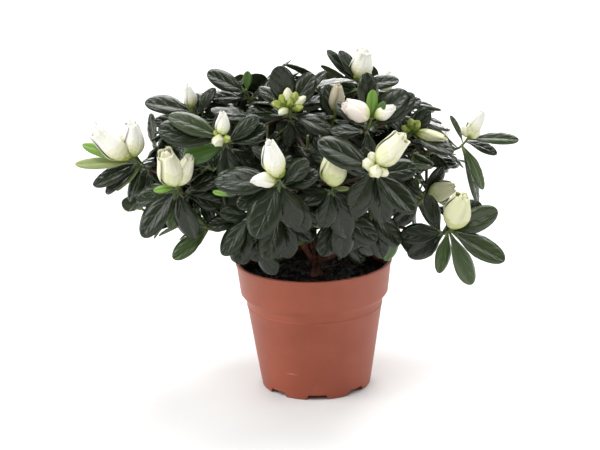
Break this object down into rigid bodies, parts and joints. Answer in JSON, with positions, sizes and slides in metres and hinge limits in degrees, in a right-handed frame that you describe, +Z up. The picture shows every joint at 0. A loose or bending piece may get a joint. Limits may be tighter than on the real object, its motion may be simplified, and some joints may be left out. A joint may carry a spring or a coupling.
{
  "type": "potted azalea shrub",
  "caption": "Potted evergreen azalea: a low dome of leathery leaves and white flower buds on a short forked trunk, standing in a tapered plastic nursery pot.",
  "frame": {"origin": "centre of the pot's flat underside, on its axis", "axes": "+Z up along the pot's axis, -Y towards the viewer of the picture, +X to that viewer's right"},
  "size_m": [0.3285, 0.2465, 0.2681],
  "materials": {
    "pot": "injection-moulded terracotta-coloured polypropylene, matte, faint mould lines and scuffs",
    "soil": "moist dark peat, crumbly",
    "bark": "thin reddish-brown bark, dull, fine ridges",
    "foliage": "leathery dark grey-green leaves, satin gloss, sunken veins; young leaves bright green; buds cream-white with a green-yellow base"
  },
  "bodies": {
    "root": {"pot": "pot", "soil": "soil", "trunk": "bark", "stem_left": "bark", "bough_top_front": "bark", "bough_top": "bark", "bough_upper_left": "bark", "bough_upper_right": "bark", "bough_front": "bark", "bough_front_left": "bark", "bough_left": "bark", "bough_front_right": "bark", "bough_right": "bark", "bough_low_right": "bark", "bough_back_left": "bark", "bough_back": "bark", "bough_back_right": "bark", "bough_low_back": "bark", "foliage_top_front": "foliage", "foliage_top": "foliage", "foliage_upper_left": "foliage", "foliage_upper_right": "foliage", "foliage_front": "foliage", "foliage_front_left": "foliage", "foliage_left": "foliage", "foliage_front_right": "foliage", "foliage_right": "foliage", "foliage_low_right": "foliage", "foliage_low_left": "foliage", "foliage_back_left": "foliage", "foliage_back": "foliage", "foliage_back_right": "foliage", "foliage_low_back": "foliage"}
  },
  "joints": []
}
